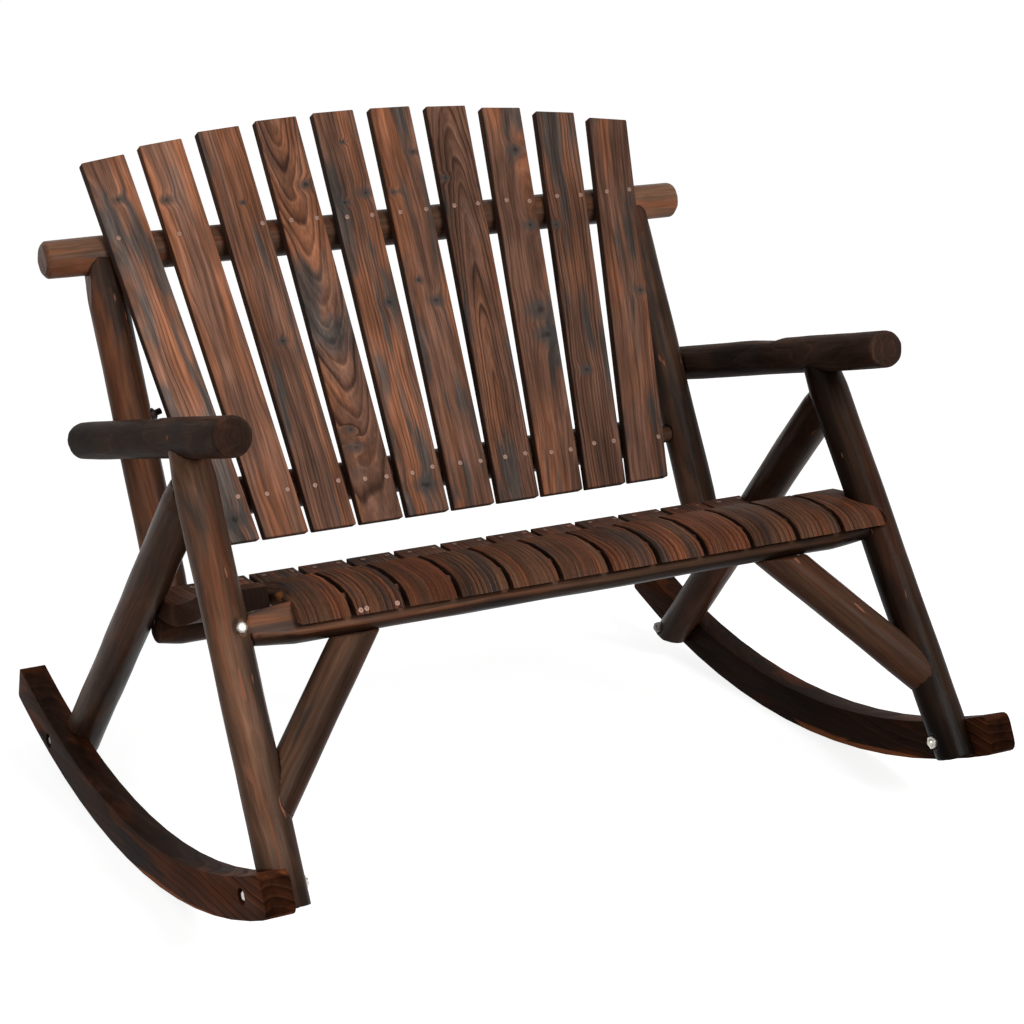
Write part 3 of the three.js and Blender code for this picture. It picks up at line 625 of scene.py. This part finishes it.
def pole_tone(name, lightness, rust, slate):
    """The tone of a pole, with the painted shade on its sides and its darker stretches."""
    left, right = painted_side_shade.get(name, (0.0, 0.0))

    def tone_at(place, way):
        sideways = picture_right[0] * way.x + picture_right[1] * way.y
        share = (1 - go_between(sideways, *turned_right, 0.0, right)
                 - go_between(sideways, *turned_left, 0.0, left))
        # Painted shade at the foot of the front legs and under the front rail, and painted shadow
        # of the slats on the top rail
        if name.startswith("front_leg"):
            share *= go_between(place.z, *leg_foot_shade)
        if name == "top_rail":
            share *= go_between(abs(place.x), *top_rail_end)
        if name == "front_seat_rail":
            share *= go_between(place.x, *front_rail_run)
            share *= go_between(way.z, *front_rail_underside_shade)
        return (lightness * share, rust, slate)

    return tone_at


# %% Finish the poles
usual_rounds = 4
smoothing_rounds = {"front_seat_rail": 1, "arm_left": 14, "arm_right": 14}
pole_spacing = 3.1
scratch_place = in_drawing(-541, -295, 178)
scratch = (0.002, 0.005, 0.9, 0.0)
for number, (name, tone) in enumerate(pole_tones.items()):
    pole = braces.get(name) or rough_copy(name)
    axes = peel(pole, smoothing_rounds.get(name, usual_rounds))
    lay_grain(pole, axes, stray(0.005), stray(0.006), number * pole_spacing)
    set_tone(pole, pole_tone(name, *tone), evenly(1.0))
    if name.startswith("arm"):
        darken_edges(pole, lambda vertex: abs(vertex.normal.dot(axes.along)) ** 3)
        store_numbers(pole, "wear_and_highlight", [go_between((vertex.co - scratch_place).length, *scratch)
                                     for vertex in pole.data.vertices])
        finish(pole, "arm_wood", arm_wood, name)
    else:
        finish(pole, "log_wood", log_wood, name)
print("poles peeled:", len(pole_tones))

# %% [markdown]
# ## Slats, seat boards and rockers
# These are sawn boards whose edges were eased with a plane. A bevel does that, and the screws
# and the grain do the rest. The slats come from beside the pith, face to the bark, so they show
# pointed arches. Most seat boards were sawn through the rings, which gives long straight lines.

# %% Ease the boards
slat_arris, board_arris, rocker_arris = 0.0022, 0.003, 0.004


def ease(piece, width, segments=3):
    apply_modifier(piece, "BEVEL", width=width, segments=segments, limit_method="ANGLE",
                   angle_limit=radians(40), use_clamp_overlap=True, harden_normals=False)
    hold(piece)
    bpy.ops.object.shade_smooth_by_angle(angle=radians(35))


# %% [markdown]
# Each slat was sawn from its own place in the log. Three numbers say how far beside and below
# the pith its middle lay, and how much the saw leaned. Slats 4 and 7 leaned most, so their rings
# run out as nested arches. The tone gives lightness, rust, slate and the strength of the rings.

# %% Saw the slats
slat_cuts = [(0.03, 0.015, 0.02), (0.045, 0.02, 0.01), (0.055, 0.01, 0.004),
             (0.004, 0.052, -0.115), (0.035, 0.012, 0.015), (0.05, 0.03, 0.02),
             (0.004, 0.006, 0.075), (-0.03, 0.02, 0.03), (-0.045, 0.008, 0.004),
             (0.05, 0.02, 0.01)]
slat_tones = [(1.75, -0.02, 0.1, 0.6), (1.65, 0.06, -0.06, 0.3), (1.2, 0.0, 0.0, 0.6),
              (1.15, 0.04, 0.05, 0.9), (1.28, 0.05, 0.08, 0.6), (1.14, 0.03, 0.06, 0.3),
              (0.93, -0.03, 0.02, 0.9), (1.15, 0.02, 0.06, 0.35), (0.86, -0.03, 0.05, 0.9),
              (0.86, 0.03, 0.03, 0.4)]
slat_spacing = 2.3
slat_names = sorted(name for name in nodes if name.startswith("slat_"))
slats = [rough_copy(name) for name in slat_names]
slat_axes = [trunk_axes(slat) for slat in slats]
print("slats ready:", len(slats))

# %% [markdown]
# Knots are the feet of branches. The rings bend round them, and the stain leaves a dark heart
# in a slate-coloured ring. Each is given by its slat, how far aside and how high it is, and its
# radius, in millimetres.

# %% Knots of the slats
slat_pitch = 78.8
slat_face = 0.25
fan_step = radians(1.72)
slat_knots = [
    (1, 2, 547, 5), (1, 7, 34, 9), (2, -19, 540, 6), (3, 5, 525, 3), (3, 4, 299, 5),
    (4, 21, 545, 6), (4, -12, 119, 6), (4, -14, 147, 4), (5, -17, 510, 5), (5, 21, 523, 7),
    (5, 19, 342, 6), (5, 4, 45, 10), (5, 3, 610, 3), (6, 24, 584, 4), (6, -24, 520, 4),
    (6, -15, 372, 4), (6, 10, 336, 7), (7, -25, 536, 4), (8, 18, 444, 7), (8, 11, 301, 13),
    (8, 16, 258, 11), (8, 13, 573, 8), (9, -27, 440, 5), (9, -9, 193, 6), (10, 23, 315, 6),
]


def on_slat(number, aside, rise):
    """A point on the face of a slat, numbered from 0 at the left."""
    place = number - (len(slat_names) - 1) / 2
    lean = place * fan_step
    x = place * slat_pitch + rise * tan(lean) + aside * cos(lean)
    return on_back(x, rise, slat_face)


knots_in_tree = []
for number, aside, rise, radius in slat_knots:
    spot = on_slat(number - 1, aside, rise)
    beside, below, _ = slat_cuts[number - 1]
    middle = place_in_tree(spot, slat_axes[number - 1], beside, below, number * slat_spacing)
    knots_in_tree.append((middle, radius * millimetre))
slat_wood = stained_wood("slat_wood", "745242", "37251e", "8e5a3f", "454442", year=0.0048,
                         figure=0.95, rust_share=0.4, slate_share=0.42, wander=0.022,
                         knots=knots_in_tree, around=0.25)
print("knots in the slats:", len(knots_in_tree))

# %% Finish the slats
edge_margin = 1.05
slat_rows = zip(slat_names, slats, slat_axes, slat_cuts, slat_tones)
for number, (name, slat, axes, cut, (*tone, figure)) in enumerate(slat_rows, 1):
    beside, below, lean = cut
    ease(slat, slat_arris)
    lay_grain(slat, axes, beside, below, number * slat_spacing, lean=lean)
    set_tone(slat, evenly(tone), evenly(figure))
    # The sides of a slat are dark, partly stain and partly painted shade
    darken_edges(slat, lambda vertex: edge_margin - abs(vertex.normal.dot(axes.depth)))
    finish(slat, "slat_wood", slat_wood, name)
print("slats sawn:", len(slats))

# %% [markdown]
# The seat boards keep their lines straight over the crown and down the nose, because their rings
# stand upright in the board: depth counts for little. The second board has its left arris planed
# off beside the leg, with painted light on it, and shows one orange knot there. All have painted
# shade along their back edge, under the backrest.

# %% Cut the seat boards from the log
board_tones = [(0.8, 0.0, 0.0, 0.8), (1.0, 0.0, 0.0, 0.9), (1.0, 0.02, 0.04, 1.3),
               (0.85, 0.1, -0.1, 0.3), (1.0, -0.02, 0.08, 1.2), (1.05, 0.0, -0.05, 0.6),
               (0.95, 0.0, 0.02, 0.8), (1.05, 0.06, 0.02, 1.0), (1.0, 0.05, 0.06, 1.1),
               (1.0, 0.07, 0.0, 0.8), (0.85, 0.0, 0.0, 0.9), (1.0, 0.02, 0.06, 1.1),
               (1.05, 0.1, 0.04, 1.0)]
board_spacing = 1.9
board_depth_share = 0.3
board_names = sorted(name for name in nodes if name.startswith("seat_board_"))
boards = [rough_copy(name) for name in board_names]
board_axes = [trunk_axes(board) for board in boards]
board_cuts = [(trunk.choice((-1, 1)) * trunk.uniform(0.06, 0.1), stray(0.01)) for _ in boards]

knotted = board_names.index("seat_board_02")
planed_way = tip_back @ Vector((-0.72, -0.06, 0.69))
saw_off(boards[knotted], in_drawing(-421, -344, -46), planed_way)
knot_middle = place_in_tree(in_drawing(-427, -344, -52), board_axes[knotted],
                            *board_cuts[knotted], knotted * board_spacing,
                            depth_share=board_depth_share)
knot_radius = 0.014
board_wood = stained_wood("board_wood", "5e3f2e", "28180f", "75422b", "332a27", year=0.0076,
                          figure=0.75, rust_share=0.45, slate_share=0.38, wander=0.026,
                          knots=[(knot_middle, knot_radius)], knot_heart="d98545",
                          knot_shape=(0.6, 0.8, 1 / board_depth_share), around=0.25)
print("seat boards ready:", len(boards))

# %% Finish the seat boards
# How far a face turns to the front, or to the left, and how light it is at both. The first
# board's end is end grain with painted shade; the second board's planed arris has painted light.
dark_end = (-0.4, -0.7, 1.0, 0.2)
painted_light_on_arris = (-0.2, -0.6, 1.0, 2.2)
# Where the painted shade of the back edge begins in the drawing, how dark it is, and the knotted
# board's sides
back_edge, back_share = -0.055, 0.5
knotted_side_share = 0.2


def board_tone(number, lightness, rust, slate):
    """The first board's end grain has painted shade, the second's planed arris painted light."""
    def tone_at(place, way):
        share = 1.0
        if number == 0:
            share = go_between(way.y, *dark_end)
        if number == knotted:
            share = go_between(way.x, *painted_light_on_arris)
        return (lightness * share, rust, slate)

    return tone_at


def board_edge(number, axes):
    """Sides, back edge and the first board's end are dark: stain and painted shade."""
    def edge_share(vertex):
        side = abs(vertex.normal.dot(axes.across))
        if number == knotted:
            side *= knotted_side_share
        back = back_share if (to_drawing @ vertex.co).y > back_edge else 0.0
        end = abs(vertex.normal.dot(axes.along)) if number == 0 else 0.0
        return max(side, back, end)

    return edge_share


board_rows = zip(board_names, boards, board_axes, board_cuts, board_tones)
for number, (name, board, axes, cut, (*tone, figure)) in enumerate(board_rows):
    ease(board, board_arris)
    lay_grain(board, axes, *cut, number * board_spacing, depth_share=board_depth_share)
    set_tone(board, board_tone(number, *tone), evenly(figure))
    darken_edges(board, board_edge(number, axes))
    finish(board, "board_wood", board_wood, name)
print("seat boards sawn:", len(boards))

# %% [markdown]
# The rockers are sawn from thick planks. Their grain runs straight while the curve cuts across
# it. They are nearly black, but redder and more figured towards the front, where the end grain is
# darkest. A painted highlight, warm as bare wood, runs along the lower arris, from the front to a
# little behind the middle.

# %% Saw the rockers
# Stretches of a rocker in the drawing, in metres, and how far its end face turns to the front
front_part = (-0.2, -0.4)
front_tip = (-0.4, -0.5)
end_face = (0.6, 0.8)
end_darkness = 0.75
right_lightness = 0.65
# The painted highlight along the lower arris: where it runs, how high it reaches, and its strength
highlit_part = (-0.42, 0.05)
highlight_height = 0.008
highlight_at_arris, unhighlit = 1.5, -9.0
rocker_below_pith = 0.07
rocker_height_in_tree = 40
rocker_depth_share = 0.5


def rocker_tone(place, way):
    lightness = go_between(place.y, *front_part, 0.95, 1.05)
    end = go_between(abs(way.y), *end_face, 0.0, 1.0) * go_between(place.y, *front_tip, 0.0, 1.0)
    lightness *= 1 - end_darkness * end
    if place.x >= 0:
        lightness *= right_lightness
    rust = go_between(place.y, *front_part, 0.0, 0.2)
    slate = go_between(place.y, *front_part, 0.05, -0.05)
    return (lightness, rust, slate)


def rocker_figure(place, way):
    return go_between(place.y, *front_part, 0.25, 1.0)


def rocker_arris_highlight(place, way):
    """The painted highlight: most at the lower arris, none beyond the highlit part."""
    if not highlit_part[0] < place.y < highlit_part[1]:
        return unhighlit
    above_floor = rocker_radius - (place - rocking_centre).yz.length
    return highlight_at_arris - above_floor / highlight_height


for side in sides:
    name = "rocker_" + side
    rocker = rough_copy(name)
    axes = trunk_axes(rocker)
    ease(rocker, rocker_arris)
    lay_grain(rocker, axes, stray(0.02), rocker_below_pith,
              rocker_height_in_tree + trunk.uniform(0, 5), depth_share=rocker_depth_share)
    set_tone(rocker, rocker_tone, rocker_figure)
    store_numbers(rocker, "wear_and_highlight", at_each_point(rocker, rocker_arris_highlight))
    finish(rocker, "rocker_wood", rocker_wood, name)
print("rockers sawn:", len(sides))

# %% [markdown]
# ## The screws
# Two rows of screws hold the slats, and more screws hold the seat boards. A head is a thin disc
# with an eased rim and a recess in its middle. One is shaped from a cylinder: its top is inset
# three times, and the innermost face is pushed down. The head is then copied to every place.

# %% Shape one screw head
screw_radius = 0.0038
head_thickness = 0.0012
rim_share, land_share, recess_edge_share = 0.14, 0.5, 0.05
rim_rise = 0.0002
recess_depth = 0.0006
head_side_count = 16


def screw_head(name, radius):
    bpy.ops.object.select_all(action="DESELECT")
    bpy.ops.mesh.primitive_cylinder_add(vertices=head_side_count, radius=radius,
                                        depth=head_thickness)
    head = bpy.context.object
    head.name = name
    hold(head)
    bpy.ops.object.mode_set(mode="EDIT")
    mesh = bmesh.from_edit_mesh(head.data)
    for face in mesh.faces:
        face.select_set(face.normal.z > 0.9)
    bmesh.update_edit_mesh(head.data)
    bpy.ops.mesh.inset(thickness=radius * rim_share, depth=rim_rise)
    bpy.ops.mesh.inset(thickness=radius * land_share, depth=0.0)
    bpy.ops.mesh.inset(thickness=radius * recess_edge_share, depth=-recess_depth)
    bpy.ops.object.mode_set(mode="OBJECT")
    return head


def drive_screws(name, head, places):
    """Copies the head to each place and turn, as one piece."""
    copies = []
    for place, facing_out in places:
        copy = bpy.data.objects.new(name, head.data.copy())
        bpy.context.scene.collection.objects.link(copy)
        copy.rotation_euler = facing_out.to_track_quat("Z", "Y").to_euler()
        copy.location = place
        copies.append(copy)
    bpy.ops.object.select_all(action="DESELECT")
    for copy in copies:
        copy.select_set(True)
    bpy.context.view_layer.objects.active = copies[0]
    bpy.ops.object.transform_apply(location=True, rotation=True, scale=True)
    bpy.ops.object.join()
    joined = bpy.context.object
    joined.name = name
    return joined


# %% [markdown]
# ## The metal
# The bolts and nuts are bright zinc, duller at the rear, but those of the arms are blackened.
# Their grey varies with the crystals of the plating, so a noise drives colour and roughness.

# %% Zinc and screw metal
crystals_per_metre = 420


def plated_metal(name, light, dark, roughness):
    metal = Nodes(name)
    place = metal.add("TexCoord").outputs["Object"]
    crystals = metal.noise(metal.stretch(place, (crystals_per_metre,) * 3), 4.0, 0.6)
    colour = metal.blend(metal.fade(crystals, 0.35, 0.65), shade(dark), shade(light))
    metal.wire(colour, "Base Color")
    metal.wire(metal.fade(crystals, 0.3, 0.7, roughness - 0.08, roughness + 0.12), "Roughness")
    metal.shader.inputs["Metallic"].default_value = 1.0
    metal.bump(crystals, 0.25, 0.0002)
    return metal.material


zinc = plated_metal("zinc", "dcd7ce", "aaa59d", 0.42)
dulled = plated_metal("dulled_zinc", "8d8780", "5e5954", 0.55)
blackened = plated_metal("blackened_steel", "38322f", "211d1c", 0.5)
screw_metal = plated_metal("screw_metal", "8f7265", "6a5349", 0.55)
print("metals:", zinc.name, dulled.name, blackened.name, screw_metal.name)

# %% [markdown]
# The outermost slats and two of their neighbours have a single screw where there is no room
# for two. The rows wander by a millimetre or two, as screws driven by hand do.

# %% Drive the slat screws
out_of_back = (back_plane.to_3x3() @ Vector((0, 0, 1))).normalized()
upper_row, lower_row = 487, 69
row_offsets = {upper_row: (-19, 25), lower_row: (-12, 24)}
left_screw_only = {(0, upper_row), (1, upper_row)}
right_screw_only = {(2, upper_row), (0, lower_row), (len(slat_names) - 1, lower_row)}
slat_screw_places = []
for number in range(len(slat_names)):
    for rise, (left, right) in row_offsets.items():
        offsets = (left, right)
        if (number, rise) in left_screw_only:
            offsets = (left,)
        if (number, rise) in right_screw_only:
            offsets = (right,)
        for offset in offsets:
            spot = on_slat(number, offset + stray(2), rise + stray(3))
            slat_screw_places.append((spot, out_of_back))
head = screw_head("screw_head", screw_radius)
slat_screws = drive_screws("slat_screws", head, slat_screw_places)
finish(slat_screws, "zinc", screw_metal)
print("slat screws:", len(slat_screw_places))

# %% [markdown]
# The seat boards are screwed down along their back edge, two to a board, and the third board
# also through its nose. A ray dropped onto the boards finds the surface at each screw.

# %% Drive the seat screws
seat_offsets = (-16, 26)
back_row = -32
over_seat = 60
before_nose = -600
nose_spots = [(-344, -82), (-335, -81), (-290, -81)]
proud = 0.0002


def nearest_surface(surfaces, start, direction):
    """The nearest hit of a ray on any of the surfaces, with the way that it faces."""
    nearest = None
    for surface in surfaces:
        hit, spot, normal, _ = surface.ray_cast(start, direction)
        if hit and (nearest is None or (spot - start).length < (nearest[0] - start).length):
            nearest = (spot, normal)
    return nearest


bpy.context.view_layer.update()
rays = []
for number in range(len(board_names)):
    middle_x = (number - (len(board_names) - 1) / 2) * slat_pitch
    for offset in seat_offsets:
        start = in_drawing(middle_x + offset + stray(2), back_row + stray(2), over_seat)
        rays.append((start, -upwards))
for x, z in nose_spots:
    rays.append((in_drawing(x, before_nose, z), backwards))
hits = [nearest_surface(boards, start, direction) for start, direction in rays]
seat_screw_places = [(hit[0] + hit[1] * proud, hit[1]) for hit in hits if hit]
seat_screws = drive_screws("seat_screws", head, seat_screw_places)
finish(seat_screws, "zinc", screw_metal)
bpy.data.objects.remove(head)
print("seat screws:", len(seat_screw_places))

# %% [markdown]
# ## Bolts and nuts
# Bolts hold the legs to the rockers, the front rail's ends in the front legs, and the arms to
# the posts. Their arrises are eased a little, so that they catch the light as pressed steel does.

# %% Ease the bolts and nuts
bolt_arris = 0.0007
bolt_names = [name for name in nodes if name.endswith(("_bolt", "_nut"))]
for name in bolt_names:
    bolt = rough_copy(name)
    ease(bolt, bolt_arris, segments=2)
    metal = blackened if name.startswith("arm") else dulled if name.startswith("rear") else zinc
    finish(bolt, "zinc", metal, name)
print("bolts and nuts:", len(bolt_names))

# %% [markdown]
# ## Light and floor
# A wide soft lamp in front and a weaker one on the left light the bench, with a pale sky all
# round. Faces that look left or down stay dark, as in the picture. The sky and the floor are
# white only where they are looked at or mirrored, so they add no light to the bench, and the
# floor keeps the soft shadow of the rockers.

# %% Which rays see the white
def looked_at_or_mirrored(tree):
    rays = tree.nodes.new("ShaderNodeLightPath")
    total = rays.outputs["Is Camera Ray"]
    for kind in ("Is Glossy Ray", "Is Transmission Ray"):
        either = tree.nodes.new("ShaderNodeMath")
        either.operation = "MAXIMUM"
        tree.links.new(total, either.inputs[0])
        tree.links.new(rays.outputs[kind], either.inputs[1])
        total = either.outputs[0]
    return total


# %% Sky
white = (1, 1, 1, 1)
scene = bpy.context.scene
scene.view_settings.view_transform = "Standard"
world = bpy.data.worlds.new("pale_sky")
scene.world = world
world.use_nodes = True
sky = world.node_tree
sky_light = sky.nodes["Background"]
sky_light.inputs["Color"].default_value = white
sky_light.inputs["Strength"].default_value = 0.3
sky_seen = sky.nodes.new("ShaderNodeBackground")
sky_seen.inputs["Color"].default_value = white
sky_mix = sky.nodes.new("ShaderNodeMixShader")
sky.links.new(looked_at_or_mirrored(sky), sky_mix.inputs[0])
sky.links.new(sky_light.outputs[0], sky_mix.inputs[1])
sky.links.new(sky_seen.outputs[0], sky_mix.inputs[2])
sky.links.new(sky_mix.outputs[0], sky.nodes["World Output"].inputs["Surface"])
print("sky:", world.name)


# %% Lamps
def soft_lamp(name, place, aim, size, power):
    bpy.ops.object.light_add(type="AREA", location=place)
    lamp = bpy.context.object
    lamp.name = name
    lamp.data.shape = "DISK"
    lamp.data.size = size
    lamp.data.energy = power
    lamp.rotation_euler = (Vector(aim) - Vector(place)).to_track_quat("-Z", "Y").to_euler()
    print("lamp:", name, power, "W")


soft_lamp("main_lamp", place=(0.8, -3.7, 2.6), aim=(0, 0, 0.45), size=1.6, power=118)
soft_lamp("fill_lamp", place=(-3.2, -2.4, 2.4), aim=(0, 0, 0.4), size=2.5, power=9)


# %% Floor
def grey(level):
    return (level, level, level, 1)


bpy.ops.mesh.primitive_plane_add(size=120, location=(0, 0, 0))
floor = bpy.context.object
floor.name = "studio_floor"
paper = Nodes("studio_paper")
paper.shader.inputs["Base Color"].default_value = grey(0.3)
paper.shader.inputs["Roughness"].default_value = 0.9
glow = paper.add("Emission", {"Strength": 0.85})
matt = paper.add("BsdfDiffuse", {"Color": grey(0.55)})
bright = paper.add("AddShader", {0: glow.outputs[0], 1: matt.outputs[0]})
seen = looked_at_or_mirrored(paper.tree)
paper_mix = paper.add("MixShader", {0: seen, 1: paper.shader.outputs[0], 2: bright.outputs[0]})
paper.tree.links.new(paper_mix.outputs[0], paper.tree.nodes["Material Output"].inputs["Surface"])
floor.data.materials.append(paper.material)
print("floor:", floor.name)
